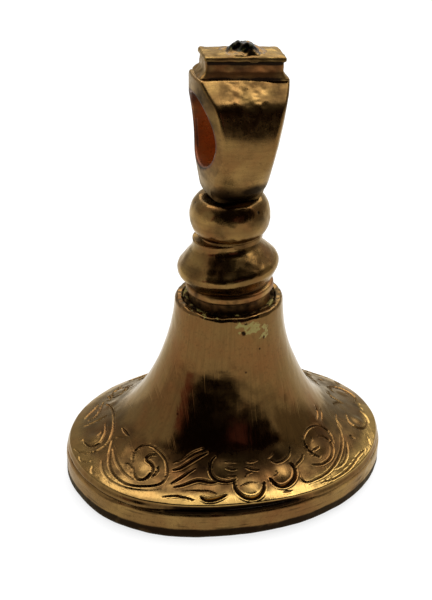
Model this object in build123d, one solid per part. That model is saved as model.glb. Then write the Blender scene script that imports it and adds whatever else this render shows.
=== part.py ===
"""Fob seal for sealing wax: a gilt brass bell on an oval foot, with turned knops and a hanging loop.

X runs along the long axis of the oval foot and along the hole of the loop, Y along the short axis
and Z up. The face of the seal stone lies at z = 0, with the origin at its middle.
"""
import os

from build123d import *

# Foot: the oval bezel band that holds the seal stone
FOOT_LENGTH = 18.3
FOOT_WIDTH = 15.0
BAND_HEIGHT = 1.6
BAND_WALL = 0.75
BAND_EDGE_ROUND = 0.28
BAND_TOP_ROUND = 0.33
LEDGE_WIDTH = 0.6
LEDGE_THICKNESS = 0.45

# Seal stone: its face stands a little below the lip of the band
STONE_PROUD = 0.1
STONE_BEVEL = 0.7
STONE_FIT = 0.03

# Bell: a thin shell, oval at the rim and round at the mouth, set back from the wall of the band
BELL_HEIGHT = 9.1
BELL_WALL = 0.4
MOUTH_RADIUS = 2.85
RIM_SETBACK = 0.2
RIM_EDGE = 0.42
RIM_ROUND = 0.38
MOUTH_ROUND = 0.12
# Outline between rim and mouth: radius along the long axis, height above the band
BELL_OUTLINE = [
    (7.30, 1.06),
    (6.00, 1.82),
    (5.12, 2.70),
    (4.03, 4.50),
    (3.24, 6.50),
]
RIM_TANGENT = (-1.0, 0.36)
MOUTH_TANGENT = (-0.10, 1.0)
BELL_SECTIONS = 11
CEMENT_FIT = 0.03

# Collar: a turned plug in the mouth of the bell, with an astragal on top and solder in the moat round it
COLLAR_DEPTH = 1.2
COLLAR_RISE = 0.95
COLLAR_RADIUS = 2.2
COLLAR_MOAT = 0.3
ASTRAGAL_SWELL = 0.17
ASTRAGAL_HEIGHT = 0.5
SOLDER_FIT = 0.02
SOLDER_LOW = 0.12
SOLDER_HIGH = 0.36

# Stem rod: a wire with a riveted head that carries the collar and the knops
ROD_RADIUS = 0.75
ROD_FIT = 0.02
ROD_HEAD_RADIUS = 1.3
ROD_HEAD_HEIGHT = 0.4
ROD_HEAD_GAP = 0.1
ROD_SOCKET = 0.9

# Lower knop: a double cone with a rounded rim
LOWER_KNOP_HEIGHT = 2.55
LOWER_KNOP_CONE_RADIUS = 3.02
LOWER_KNOP_CONE_HEIGHT = 1.05
LOWER_KNOP_ROUND = 0.83
LOWER_KNOP_FOOT_RADIUS = 2.1
LOWER_KNOP_TOP_RADIUS = 1.78

# Upper knop: a turned bead on a short neck
UPPER_KNOP_HEIGHT = 2.4
UPPER_KNOP_RADIUS = 2.14
UPPER_KNOP_NECK = 0.2
UPPER_KNOP_NECK_RADIUS = 1.58
UPPER_KNOP_SWELL = 0.64

# Suspension loop: a stirrup that widens upwards, its flanks swelling in plan, soldered on with a lean
LOOP_LEAN = 2.3
LOOP_HEIGHT = 6.55
LOOP_HOLE_RADIUS = 1.9
LOOP_HOLE_HEIGHT = 3.7
LOOP_WALL = 0.6
LOOP_NECK_DEPTH = 2.5
LOOP_NECK_HEIGHT = 0.35
LOOP_HIP_DEPTH = 3.9
LOOP_HIP_HEIGHT = 1.15
LOOP_SHOULDER_DEPTH = 2.0
LOOP_TOP_WIDTH = 4.95
LOOP_MIDDLE_WIDTH = 4.35
LOOP_FOOT_WIDTH = 2.9
LOOP_SWELL = 0.78
LOOP_EDGE_ROUND = 0.12

# Crest tablet on the loop, with a lump of repair solder on it
TABLET_LENGTH = 4.2
TABLET_DEPTH = 1.95
TABLET_HEIGHT = 1.15
TABLET_PLATE = 0.36
TABLET_OVERHANG = 0.12
TABLET_FLARE = 0.16
TABLET_FLARE_HEIGHT = 0.32
TABLET_ROUND = 0.12
LUMP_RADIUS = 0.95
LUMP_HEIGHT = 0.58

# Levels that follow from the sizes above
half_length = FOOT_LENGTH / 2
half_width = FOOT_WIDTH / 2
rim_length = half_length - RIM_SETBACK
rim_width = half_width - RIM_SETBACK
seat_z = STONE_PROUD + BAND_HEIGHT
ledge_z = seat_z - LEDGE_THICKNESS
mouth_z = seat_z + BELL_HEIGHT
mouth_bore = MOUTH_RADIUS - BELL_WALL
collar_radius = mouth_bore - SOLDER_FIT
collar_z = mouth_z - COLLAR_DEPTH
lower_knop_z = mouth_z + COLLAR_RISE
upper_knop_z = lower_knop_z + LOWER_KNOP_HEIGHT
loop_z = upper_knop_z + UPPER_KNOP_HEIGHT
lean = Pos(0, 0, loop_z) * Rot(0, LOOP_LEAN, 0)
head_z = collar_z - ROD_HEAD_HEIGHT
cement_top_z = head_z - ROD_HEAD_GAP


def foot_oval(inset, z):
    """Oval of the foot, drawn in by the inset, at height z."""
    return Pos(0, 0, z) * Ellipse(half_length - inset, half_width - inset)


def turned(outline):
    """Solid turned about Z from a closed outline of radius and height."""
    return revolve(Plane.XZ * outline, Axis.Z)


def rod_hole(z, depth):
    """Clearance hole for the stem rod from height z upwards."""
    return extrude(Pos(0, 0, z) * Circle(ROD_RADIUS + ROD_FIT), depth)


def stone_blank(spare):
    """Stone with a bevelled face, grown sideways by the spare room given."""
    face = foot_oval(BAND_WALL + STONE_FIT + STONE_BEVEL - spare, 0)
    girdle = foot_oval(BAND_WALL + STONE_FIT - spare, STONE_BEVEL)
    bevel = loft([face, girdle], ruled=True)
    return bevel + extrude(girdle, ledge_z - STONE_BEVEL)


def seal_stone():
    """Oval stone with a plain face, held by the lip of the band."""
    return stone_blank(0)


def bezel_band():
    """Oval band with a ledge above the stone and a lip turned in over the stone's bevel."""
    band = extrude(foot_oval(0, STONE_PROUD), BAND_HEIGHT)
    rims = band.edges().filter_by(GeomType.ELLIPSE).sort_by(Axis.Z)
    band = fillet(rims[0], BAND_EDGE_ROUND)
    rims = band.edges().filter_by(GeomType.ELLIPSE).sort_by(Axis.Z)
    band = fillet(rims[-1], BAND_TOP_ROUND)
    opening = extrude(foot_oval(BAND_WALL + LEDGE_WIDTH, ledge_z), LEDGE_THICKNESS)
    return band - stone_blank(STONE_FIT) - opening


def bell_oval(radius, z):
    """Section of the bell: a circle up to the mouth radius, drawn out to an oval at the rim."""
    share = max(0, (radius - MOUTH_RADIUS) / (rim_length - MOUTH_RADIUS))
    return Pos(0, 0, z) * Ellipse(radius, radius - share * (rim_length - rim_width))


def bell_solid(inset):
    """Bell filled from the band to the mouth, with its outline drawn in by the inset."""
    points = [(rim_length, seat_z + RIM_EDGE)]
    points += [(radius, seat_z + height) for radius, height in BELL_OUTLINE]
    points += [(MOUTH_RADIUS, mouth_z)]
    outline = Spline(points, tangents=[RIM_TANGENT, MOUTH_TANGENT])
    sections = []
    for step in range(BELL_SECTIONS):
        place = step / (BELL_SECTIONS - 1)
        spot = outline @ place
        slope = outline % place
        sections.append(bell_oval(spot.X - inset * slope.Y, spot.Y + inset * slope.X))
    bell = loft(sections)
    skirt = extrude(sections[0], 2 * (BELL_WALL + RIM_EDGE), dir=(0, 0, -1))
    chimney = extrude(sections[-1], 2 * BELL_WALL)
    room = Pos(0, 0, (seat_z + mouth_z) / 2) * Box(2 * FOOT_LENGTH, 2 * FOOT_LENGTH, BELL_HEIGHT)
    return (bell + skirt + chimney) & room


def bell_shell():
    """Thin bell, open at the foot and at the mouth."""
    bell = bell_solid(0)
    rim = bell.edges().filter_by_position(Axis.Z, seat_z + RIM_EDGE - 0.01, seat_z + RIM_EDGE + 0.01)
    bell = fillet(rim, RIM_ROUND)
    bell = fillet(bell.edges().sort_by(Axis.Z)[-1], MOUTH_ROUND)
    bore = extrude(Pos(0, 0, collar_z) * Circle(mouth_bore), COLLAR_DEPTH)
    return bell - bell_solid(BELL_WALL) - bore


def setting_cement():
    """Filling of the bell that backs the stone."""
    height = cement_top_z - seat_z
    room = Pos(0, 0, seat_z + height / 2) * Box(2 * FOOT_LENGTH, 2 * FOOT_LENGTH, height)
    filling = bell_solid(BELL_WALL + CEMENT_FIT) & room
    pad = foot_oval(BAND_WALL + LEDGE_WIDTH + CEMENT_FIT, ledge_z)
    return filling + extrude(pad, LEDGE_THICKNESS)


def neck_collar():
    """Turned plug that closes the mouth of the bell, with a shaft and an astragal above it."""
    plug = extrude(Pos(0, 0, collar_z) * Circle(collar_radius), COLLAR_DEPTH - COLLAR_MOAT)
    shaft = extrude(Pos(0, 0, collar_z) * Circle(COLLAR_RADIUS), COLLAR_DEPTH + COLLAR_RISE)
    low = (COLLAR_RADIUS, lower_knop_z - ASTRAGAL_HEIGHT)
    crest = (COLLAR_RADIUS + ASTRAGAL_SWELL, lower_knop_z - ASTRAGAL_HEIGHT / 2)
    high = (COLLAR_RADIUS, lower_knop_z)
    astragal = turned(make_face(Line(high, low) + ThreePointArc(low, crest, high)))
    return plug + shaft + astragal - rod_hole(collar_z, COLLAR_DEPTH + COLLAR_RISE)


def neck_solder():
    """Ring of solder in the moat, climbing from the collar to the lip of the bell."""
    inner = COLLAR_RADIUS + SOLDER_FIT
    outer = mouth_bore - SOLDER_FIT
    floor = mouth_z - COLLAR_MOAT
    outline = Polyline(
        (inner, floor),
        (outer, floor),
        (outer, floor + SOLDER_HIGH),
        (inner, floor + SOLDER_LOW),
        close=True,
    )
    return turned(make_face(outline))


def stem_rod():
    """Wire with a riveted head under the collar and its end in the socket of the loop."""
    head = extrude(Pos(0, 0, head_z) * Circle(ROD_HEAD_RADIUS), ROD_HEAD_HEIGHT)
    head = fillet(head.edges().sort_by(Axis.Z)[0], ROD_HEAD_HEIGHT / 2)
    return head + extrude(Pos(0, 0, collar_z) * Circle(ROD_RADIUS), loop_z + ROD_SOCKET - collar_z)


def lower_knop():
    """Double cone with a rounded rim and a flat ledge on top."""
    outline = make_face(
        Polyline(
            (0, 0),
            (LOWER_KNOP_FOOT_RADIUS, 0),
            (LOWER_KNOP_CONE_RADIUS, LOWER_KNOP_CONE_HEIGHT),
            (LOWER_KNOP_TOP_RADIUS, LOWER_KNOP_HEIGHT),
            (0, LOWER_KNOP_HEIGHT),
            close=True,
        )
    )
    outline = fillet(outline.vertices().sort_by(Axis.X)[-1], LOWER_KNOP_ROUND)
    knop = Pos(0, 0, lower_knop_z) * turned(outline)
    return knop - rod_hole(lower_knop_z, LOWER_KNOP_HEIGHT)


def upper_knop():
    """Bead of half-oval section on a short neck."""
    core = UPPER_KNOP_RADIUS - UPPER_KNOP_SWELL
    half = (UPPER_KNOP_HEIGHT - UPPER_KNOP_NECK) / 2
    middle = UPPER_KNOP_NECK + half
    bead = make_face(
        EllipticalCenterArc((core, middle), UPPER_KNOP_SWELL, half, -90, arc_size=180)
        + Line((core, UPPER_KNOP_HEIGHT), (core, UPPER_KNOP_NECK))
    )
    knop = Pos(0, 0, upper_knop_z) * turned(bead)
    knop += extrude(Pos(0, 0, upper_knop_z) * Circle(core), UPPER_KNOP_HEIGHT)
    knop += extrude(Pos(0, 0, upper_knop_z) * Circle(UPPER_KNOP_NECK_RADIUS), UPPER_KNOP_NECK + half / 2)
    return knop - rod_hole(upper_knop_z, UPPER_KNOP_HEIGHT)


def loop_plan(width, z):
    """Plan of the loop at height z: flat front and back, swelling flanks, widest across the middle."""
    middle = width / 2
    edge = middle - LOOP_SWELL
    depth = LOOP_HOLE_RADIUS + LOOP_WALL
    outline = Line((-edge, -depth), (edge, -depth))
    outline += ThreePointArc((edge, -depth), (middle, 0), (edge, depth))
    outline += Line((edge, depth), (-edge, depth))
    outline += ThreePointArc((-edge, depth), (-middle, 0), (-edge, -depth))
    return Pos(0, 0, z) * make_face(outline)


def loop_side():
    """Side view of the loop, one half: neck, hip, round back of the ring and shoulder."""
    ring = LOOP_HOLE_RADIUS + LOOP_WALL
    neck = (LOOP_NECK_DEPTH / 2, LOOP_NECK_HEIGHT)
    hip = (LOOP_HIP_DEPTH / 2, LOOP_HIP_HEIGHT)
    back = (ring, LOOP_HOLE_HEIGHT)
    crown = (ring * 0.76, LOOP_HOLE_HEIGHT + ring * 0.65)
    middle = (ring * 0.94, LOOP_HOLE_HEIGHT + ring * 0.341)
    shoulder = (LOOP_SHOULDER_DEPTH / 2, LOOP_HEIGHT)
    below = -LOOP_NECK_HEIGHT
    outline = Polyline(shoulder, (0, LOOP_HEIGHT), (0, below), (LOOP_NECK_DEPTH / 2, below), neck)
    outline += Spline([neck, hip], tangents=[(0, 1), (1, 0.6)])
    outline += Spline([hip, back], tangents=[(0.6, 1), (0, 1)])
    outline += ThreePointArc(back, middle, crown)
    outline += Line(crown, shoulder)
    return make_face(outline)


def suspension_loop():
    """Stirrup-shaped loop with a round hole along X and a socket for the stem rod."""
    foot = loop_plan(LOOP_FOOT_WIDTH, -LOOP_NECK_HEIGHT)
    middle = loop_plan(LOOP_MIDDLE_WIDTH, LOOP_HOLE_HEIGHT)
    top = loop_plan(LOOP_TOP_WIDTH, LOOP_HEIGHT)
    half = loop_side()
    side = Plane.YZ * (half + mirror(half, Plane.YZ))
    loop = loft([foot, middle, top]) & extrude(side, LOOP_TOP_WIDTH, both=True)
    corners = loop.edges().filter_by_position(Axis.Z, LOOP_HIP_HEIGHT, LOOP_HEIGHT, (False, False))
    loop = fillet(corners, LOOP_EDGE_ROUND)
    loop -= Pos(0, 0, LOOP_HOLE_HEIGHT) * Rot(0, 90, 0) * Cylinder(LOOP_HOLE_RADIUS, 2 * LOOP_TOP_WIDTH)
    room = Pos(0, 0, loop_z + LOOP_HEIGHT) * Box(2 * LOOP_HEIGHT, 2 * LOOP_HEIGHT, 2 * LOOP_HEIGHT)
    return (lean * loop & room) - rod_hole(loop_z, ROD_SOCKET)


def crest_tablet():
    """Oblong tablet: a flared foot, a plain riser and an overhanging plate with a rounded top edge."""
    length = TABLET_LENGTH - 2 * TABLET_OVERHANG
    depth = TABLET_DEPTH - 2 * TABLET_OVERHANG
    foot = Pos(0, 0, LOOP_HEIGHT) * Rectangle(length + 2 * TABLET_FLARE, depth + 2 * TABLET_FLARE)
    waist = Pos(0, 0, LOOP_HEIGHT + TABLET_FLARE_HEIGHT) * Rectangle(length, depth)
    riser = extrude(waist, TABLET_HEIGHT - TABLET_PLATE - TABLET_FLARE_HEIGHT)
    slab = Pos(0, 0, LOOP_HEIGHT + TABLET_HEIGHT - TABLET_PLATE) * Rectangle(TABLET_LENGTH, TABLET_DEPTH)
    plate = extrude(slab, TABLET_PLATE)
    plate = fillet(plate.edges().filter_by(Axis.Z), TABLET_ROUND)
    plate = fillet(plate.faces().sort_by(Axis.Z)[-1].edges(), TABLET_ROUND)
    return lean * (loft([foot, waist], ruled=True) + riser + plate)


def solder_lump():
    """Drop of solder on the tablet."""
    base = (LUMP_RADIUS, 0)
    crown = (0, LUMP_HEIGHT)
    outline = Polyline(crown, (0, 0), base) + TangentArc(crown, base, tangent=(1, 0))
    return lean * Pos(0, 0, LOOP_HEIGHT + TABLET_HEIGHT) * turned(make_face(outline))


PIECES = {
    "seal_stone": seal_stone,
    "bezel_band": bezel_band,
    "bell_shell": bell_shell,
    "setting_cement": setting_cement,
    "neck_collar": neck_collar,
    "neck_solder": neck_solder,
    "stem_rod": stem_rod,
    "lower_knop": lower_knop,
    "upper_knop": upper_knop,
    "suspension_loop": suspension_loop,
    "crest_tablet": crest_tablet,
    "solder_lump": solder_lump,
}

os.makedirs("parts", exist_ok=True)
for name, make in PIECES.items():
    export_step(make(), f"parts/{name}.step")
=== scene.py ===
"""Dresses the CAD frame of an antique fob seal for sealing wax in worn gilt brass.

The shape functions work in millimetres on grids of points: rows run along a profile and
columns run around. Meshes and properties are in metres, in the frame of the CAD model.
"""

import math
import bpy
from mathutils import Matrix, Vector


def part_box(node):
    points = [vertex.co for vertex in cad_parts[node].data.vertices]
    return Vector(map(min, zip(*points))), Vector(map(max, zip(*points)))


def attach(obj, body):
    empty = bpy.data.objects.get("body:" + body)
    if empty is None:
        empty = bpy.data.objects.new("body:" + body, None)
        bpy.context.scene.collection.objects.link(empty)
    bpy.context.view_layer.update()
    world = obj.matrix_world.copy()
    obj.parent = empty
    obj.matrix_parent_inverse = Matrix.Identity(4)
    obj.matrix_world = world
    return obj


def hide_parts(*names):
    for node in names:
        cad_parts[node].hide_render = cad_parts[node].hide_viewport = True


bl_info = {
    "name": "Fob Seal Looks",
    "version": (1, 0, 0),
    "blender": (4, 5, 0),
    "location": "3D View > Sidebar > Fob Seal",
    "description": "Worn gilt surfaces, chased scrolls and a studio stage for a fob seal",
    "category": "Object",
}

import bpy
import numpy as np
from mathutils import Matrix, Vector

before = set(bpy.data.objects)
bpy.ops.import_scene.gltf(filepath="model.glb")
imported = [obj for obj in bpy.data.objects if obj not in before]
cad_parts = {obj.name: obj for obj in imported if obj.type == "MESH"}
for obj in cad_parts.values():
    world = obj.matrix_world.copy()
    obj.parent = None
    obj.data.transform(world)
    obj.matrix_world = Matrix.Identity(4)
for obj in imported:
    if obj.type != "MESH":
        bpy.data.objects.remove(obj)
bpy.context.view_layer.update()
MM = 0.001
TURN = 2 * np.pi


def level(node, top):
    """Height in millimetres of a CAD node's lowest point, or of its highest with top = 1."""
    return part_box(node)[top].z / MM


def extent(node, axis):
    """Size of a CAD node along an axis, in metres."""
    low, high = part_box(node)
    return high[axis] - low[axis]


BAND_FOOT = level("bezel_band", 0)
SEAT = level("bezel_band", 1)
MOUTH = level("bell_shell", 1)
LOWER_KNOP = level("lower_knop", 0)
UPPER_KNOP = level("upper_knop", 0)
LOOP_FOOT = level("suspension_loop", 0)

# The knops were soldered on askew: they dip to the left of someone who faces the seal
FACING = math.radians(-18)
TOWARDS_VIEWER = np.array([math.sin(FACING), -math.cos(FACING), 0.0])
TO_THE_RIGHT = np.array([math.cos(FACING), math.sin(FACING), 0.0])

# Camera of the photograph, fitted to the outline of the foot and to the stem. The picture is upright,
# so the sensor's 36 mm lie along its height. Picture and focus are in pixels.
PICTURE = np.array([432, 600])
LENS, SENSOR = 78.95, 36.0
FOCUS = LENS / SENSOR * PICTURE[1]
CAMERA_ELEVATION = math.radians(28.03)
CAMERA_ROLL = math.radians(1.5)
CAMERA_DISTANCE = 72.0
CAMERA_AIM = -0.688 * TO_THE_RIGHT + np.array([0, 0, 10.38])


def camera_axes():
    """Directions right, up and back of the camera; back points from the seal to the lens."""
    back = math.cos(CAMERA_ELEVATION) * TOWARDS_VIEWER + np.array([0, 0, math.sin(CAMERA_ELEVATION)])
    up = np.cross(back, TO_THE_RIGHT)
    right = math.cos(CAMERA_ROLL) * TO_THE_RIGHT + math.sin(CAMERA_ROLL) * up
    return right, np.cross(back, right), back


def in_picture(points):
    """Pixels across and down at which the camera sees points in millimetres."""
    right, up, back = camera_axes()
    sight = points - CAMERA_AIM - CAMERA_DISTANCE * back
    scale = -FOCUS / (sight @ back)
    return PICTURE / 2 + np.stack([scale * (sight @ right), -scale * (sight @ up)], -1)


def linear(code):
    """Linear red, green and blue of an sRGB hex colour such as #a47d4c."""
    srgb = np.array([int(code[place:place + 2], 16) for place in (1, 3, 5)]) / 255
    curve = ((srgb + 0.055) / 1.055) ** 2.4
    return tuple(np.where(srgb <= 0.04045, srgb / 12.92, curve))


def length(name, description, default):
    """Property for a length in metres."""
    return bpy.props.FloatProperty(
        name=name, description=description, default=default, min=0.0, precision=6, unit="LENGTH"
    )


def colour(name, description, code):
    """Property for a colour given as an sRGB hex code."""
    return bpy.props.FloatVectorProperty(
        name=name, description=description, default=linear(code), min=0.0, max=1.0, subtype="COLOR"
    )


def slant(name, description, degrees):
    """Property for an angle given in degrees."""
    return bpy.props.FloatProperty(
        name=name, description=description, default=math.radians(degrees), subtype="ANGLE"
    )


class SealSizes(bpy.types.PropertyGroup):
    """Lengths and angles of the seal that a user would change."""

    foot_length: length("Foot length", "Long axis of the oval band", extent("bezel_band", 0))
    foot_width: length("Foot width", "Short axis of the oval band", extent("bezel_band", 1))
    rim_length: length("Rim length", "Long axis of the bell's rim", extent("bell_shell", 0))
    rim_width: length("Rim width", "Short axis of the bell's rim", extent("bell_shell", 1))
    mouth_radius: length("Mouth radius", "Radius of the bell at its mouth", 2.92 * MM)
    bell_wall: length("Bell wall", "Thickness of the bell", 0.4 * MM)
    cut_depth: length("Cut depth", "Depth of the chased cuts", 0.13 * MM)
    collar_radius: length("Collar radius", "Radius of the collar above the mouth", 2.2 * MM)
    lower_knop: length("Lower knop", "Diameter of the lower knop", extent("lower_knop", 0))
    upper_knop: length("Upper knop", "Diameter of the upper knop", extent("upper_knop", 0))
    hole_radius: length("Hole radius", "Radius of the hole in the loop", 1.9 * MM)
    tablet_length: length("Tablet length", "Length of the tablet's plate", 4.2 * MM)
    tablet_depth: length("Tablet depth", "Depth of the tablet's plate", 1.95 * MM)
    lump_radius: length("Lump radius", "Reach of the solder drop on the tablet", 0.95 * MM)
    loop_lean: slant("Loop lean", "Sideways lean of the loop on the knops", 2.3)
    tablet_twist: slant("Tablet twist", "Turn of the tablet on the loop", -6.0)
    knop_tilt: slant("Knop tilt", "How far the knops dip to the left", 3.6)


class SealColours(bpy.types.PropertyGroup):
    """Colours of the seal and of the floor."""

    gold: colour("Gold", "Skin of the gilding", "#785b33")
    pale_gold: colour("Pale gold", "Gilding rubbed bright on the edges", "#a6864c")
    glance: colour("Glance", "Tint of the gilding seen edge on", "#fff6e2")
    copper: colour("Copper", "Base metal where the gilding is thin", "#704424")
    # The orange below also paints the glow of light bounced inside the loop's hole
    orange_stain_and_glow: colour("Bore", "Orange stain inside the loop", "#9c4a16")
    # The brown below also paints shade under the bell's rim, on the band's top and lower edge, in the
    # collar's recess, under the tablet's plate and on the loop's flanks
    patina_and_shade: colour("Patina", "Brown dirt in cuts and hollows", "#1c1109")
    corrosion: colour("Corrosion", "Yellow-green bloom on old solder", "#7f7338")
    grey_solder: colour("Grey solder", "Drop of lead solder on the tablet", "#1a1b15")
    stone: colour("Stone", "Brown-red hardstone", "#7a2412")
    stone_layer: colour("Stone layer", "Darker layers in the stone", "#43110a")
    cement: colour("Cement", "Dark shellac cement", "#3a2617")
    wire: colour("Wire", "Drawn brass of the stem rod", "#b28d4a")
    floor: colour("Floor", "Paper that the seal stands on", "#fafafa")


def spline(points, start=None, end=None, steps=200):
    """Smooth curve through points: cubic pieces over the chord lengths, with slopes solved so that
    the curvature never jumps. The ends leave along the directions given, or along the end chords."""
    points = np.asarray(points, float)
    chords = np.diff(points, axis=0)
    gaps = np.linalg.norm(chords, axis=1)
    first = chords[0] if start is None else np.asarray(start, float)
    last = chords[-1] if end is None else np.asarray(end, float)
    system = np.eye(len(points))
    target = np.zeros_like(points)
    target[0] = first / np.linalg.norm(first)
    target[-1] = last / np.linalg.norm(last)
    inner = np.arange(1, len(points) - 1)
    before = 1 / gaps[:-1]
    after = 1 / gaps[1:]
    system[inner, inner - 1] = before
    system[inner, inner] = 2 * (before + after)
    system[inner, inner + 1] = after
    target[inner] = 3 * (chords[:-1] * before[:, None] ** 2 + chords[1:] * after[:, None] ** 2)
    slopes = np.linalg.solve(system, target)
    knots = np.r_[0, np.cumsum(gaps)]
    at = np.linspace(0, knots[-1], steps)
    piece = np.clip(np.searchsorted(knots, at, "right") - 1, 0, len(gaps) - 1)
    gap = gaps[piece][:, None]
    share = (at - knots[piece])[:, None] / gap
    rest = 1 - share
    from_points = (1 + 2 * share) * rest**2 * points[piece] + share**2 * (3 - 2 * share) * points[piece + 1]
    from_slopes = share * rest**2 * slopes[piece] - share**2 * rest * slopes[piece + 1]
    return from_points + gap * from_slopes


def rounded(corners, closed=False, steps=8):
    """Line through corners of (across, up, radius). Each corner becomes a circular arc, drawn as a
    rational curve whose middle weight is the cosine of half the turn."""
    corners = np.asarray(corners, float)
    spots, radii = corners[:, :2], corners[:, 2].copy()
    if not closed:
        radii[[0, -1]] = 0
    ahead = np.roll(spots, -1, axis=0) - spots
    ahead /= np.linalg.norm(ahead, axis=1, keepdims=True)
    behind = np.roll(ahead, 1, axis=0)
    half = np.arccos(np.clip((ahead * behind).sum(1), -1, 1)) / 2
    reach = (radii * np.tan(np.minimum(half, 1.5)))[:, None]
    weight = np.cos(half)[:, None, None]
    at = np.linspace(0, 1, steps)[None, :, None]
    entry = (spots - behind * reach)[:, None]
    leave = (spots + ahead * reach)[:, None]
    middle = 2 * weight * at * (1 - at)
    total = (1 - at) ** 2 + middle + at**2
    arcs = ((1 - at) ** 2 * entry + middle * spots[:, None] + at**2 * leave) / total
    line = arcs.reshape(-1, 2)
    return np.vstack([line, line[:1]]) if closed else line


def run_of(line):
    """Length run so far at each point of a line."""
    return np.r_[0, np.cumsum(np.linalg.norm(np.diff(line, axis=0), axis=1))]


def evenly(line, count):
    """Points spread evenly along a line, by the length run so far."""
    run = run_of(line)
    at = np.linspace(0, run[-1], count)
    return np.stack([np.interp(at, run, axis) for axis in line.T], -1)


def around(columns):
    """Angles of the columns of a grid that closes on itself."""
    return np.linspace(0, TURN, columns, endpoint=False)


def turned(profile, columns):
    """Profile of radius and height, turned about Z."""
    angle = around(columns)
    radius, height = profile[:, :1], profile[:, 1:]
    return np.stack([radius * np.cos(angle), radius * np.sin(angle), height + 0 * angle], -1)


def lathe(points):
    """Place on a turned surface for patterns that follow it: a circle of the mean radius for the
    angle, and the length run along the profile as the third number."""
    angle = np.arctan2(points[..., 1], points[..., 0])
    radius = np.hypot(points[..., 0], points[..., 1]).mean()
    steps = np.linalg.norm(np.diff(points, axis=0), axis=2).mean(1)
    run = np.r_[0, np.cumsum(steps)][:, None] + 0 * angle
    return np.stack([radius * np.cos(angle), radius * np.sin(angle), run], -1)


def normals(points):
    """Unit normals of a grid: the step around crossed with the step along."""
    across = np.roll(points, -1, axis=1) - np.roll(points, 1, axis=1)
    along = np.gradient(points, axis=0)
    normal = np.cross(across, along)
    return normal / np.maximum(np.linalg.norm(normal, axis=2, keepdims=True), 1e-12)


def waves(points, size, seed, count=28):
    """Soft unevenness of about one in height: plane waves near one length, in seeded directions."""
    draw = np.random.default_rng(seed)
    ways = draw.normal(size=(count, 3))
    pace = (TURN / size) * draw.uniform(0.6, 1.4, (count, 1))
    ways *= pace / np.linalg.norm(ways, axis=1, keepdims=True)
    phases = draw.uniform(0, TURN, count)
    return np.cos(points @ ways.T + phases).sum(-1) * math.sqrt(1 / count)


def ease(value, low, high):
    """Smooth step from 0 at low to 1 at high."""
    share = np.clip((value - low) / (high - low), 0, 1)
    return share * share * (3 - 2 * share)


def between(value, start, full, fading, end):
    """Smooth window: 0 up to start, 1 from full to fading, and 0 again from end."""
    return ease(value, start, full) * ease(-value, -end, -fading)


def dabs(points, spots):
    """Sum of round dabs of (x, y, z, reach, strength): one minus the squared distance over the
    reach, squared."""
    total = np.zeros(points.shape[:2])
    for x, y, z, reach, strength in spots:
        off = ((points - np.array([x, y, z])) ** 2).sum(-1) / reach**2
        total += strength * np.clip(1 - off, 0, 1) ** 2
    return total


def swayed(points, height, angle):
    """Points turned about the line towards the viewer through a height, so that the right side rises."""
    middle = np.array([0, 0, height])
    offset = points - middle
    right = offset @ TO_THE_RIGHT
    up = offset[..., 2]
    turned_right = right * math.cos(angle) - up * math.sin(angle)
    turned_up = right * math.sin(angle) + up * math.cos(angle)
    depth = (offset @ TOWARDS_VIEWER)[..., None] * TOWARDS_VIEWER
    level_part = depth + turned_right[..., None] * TO_THE_RIGHT
    return level_part + turned_up[..., None] * np.array([0, 0, 1.0]) + middle


def leaned(points, sizes):
    """Points of the loop's own upright frame, leaned about Y over the middle of its foot."""
    cos, sin = math.cos(sizes.loop_lean), math.sin(sizes.loop_lean)
    x, y, up = points[..., 0], points[..., 1], points[..., 2]
    return np.stack([cos * x + sin * up, y, LOOP_FOOT - sin * x + cos * up], -1)


def with_middles(values, ends):
    """Rows of values, and the mean of each end as one more row."""
    return np.vstack([values] + [values[end].mean(0) for end in ends])


def add_piece(name, points, material, node, marks, closed_along=False):
    """Mesh of a grid that closes around, as a piece that stands for a CAD node.
    The ends are joined to each other, or else each is closed by a fan to its middle."""
    rows, columns = points.shape[:2]
    index = np.arange(rows * columns).reshape(rows, columns)
    here = index if closed_along else index[:-1]
    above = np.roll(index, -1, axis=0) if closed_along else index[1:]
    quads = np.stack([here, np.roll(here, -1, 1), np.roll(above, -1, 1), above], -1).reshape(-1, 4)
    faces = quads.tolist()
    flat = points.reshape(-1, 3)
    tops = {mark: value.reshape(len(flat), -1) for mark, value in marks.items()}
    if not closed_along:
        ends = (index[0], index[-1])
        low = np.stack([np.roll(ends[0], -1), ends[0], np.full(columns, len(flat))], -1)
        high = np.stack([ends[1], np.roll(ends[1], -1), np.full(columns, len(flat) + 1)], -1)
        faces += low.tolist() + high.tolist()
        tops = {mark: with_middles(value, ends) for mark, value in tops.items()}
        flat = with_middles(flat, ends)
    mesh = bpy.data.meshes.new(name)
    mesh.from_pydata(flat * MM, [], faces)
    mesh.shade_smooth()
    for mark, value in tops.items():
        kind, field = ("FLOAT", "value") if value.shape[1] == 1 else ("FLOAT_VECTOR", "vector")
        layer = mesh.attributes.new(mark, kind, "POINT")
        layer.data.foreach_set(field, value.astype(np.float32).ravel())
    mesh.materials.append(material)
    piece = bpy.data.objects.new(name, mesh)
    bpy.context.scene.collection.objects.link(piece)
    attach(piece, "root")
    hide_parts(node)


def add(tree, kind, inputs=None, **settings):
    """Node with its own settings. Each input is a value, or another node's output to link."""
    made = tree.nodes.new(kind)
    for name, value in settings.items():
        setattr(made, name, value)
    for socket, value in (inputs or {}).items():
        if isinstance(value, bpy.types.NodeSocket):
            tree.links.new(value, made.inputs[socket])
        else:
            made.inputs[socket].default_value = value
    return made


def maths(tree, operation, *inputs, clamp=False):
    """Result of a math node on values or outputs."""
    made = add(tree, "ShaderNodeMath", dict(enumerate(inputs)), operation=operation, use_clamp=clamp)
    return made.outputs[0]


def remap(tree, value, low, high, to_low=0.0, to_high=1.0):
    """Value moved from one range to another and held inside it."""
    ranges = {"From Min": low, "From Max": high, "To Min": to_low, "To Max": to_high}
    return add(tree, "ShaderNodeMapRange", {"Value": value, **ranges}).outputs["Result"]


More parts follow.
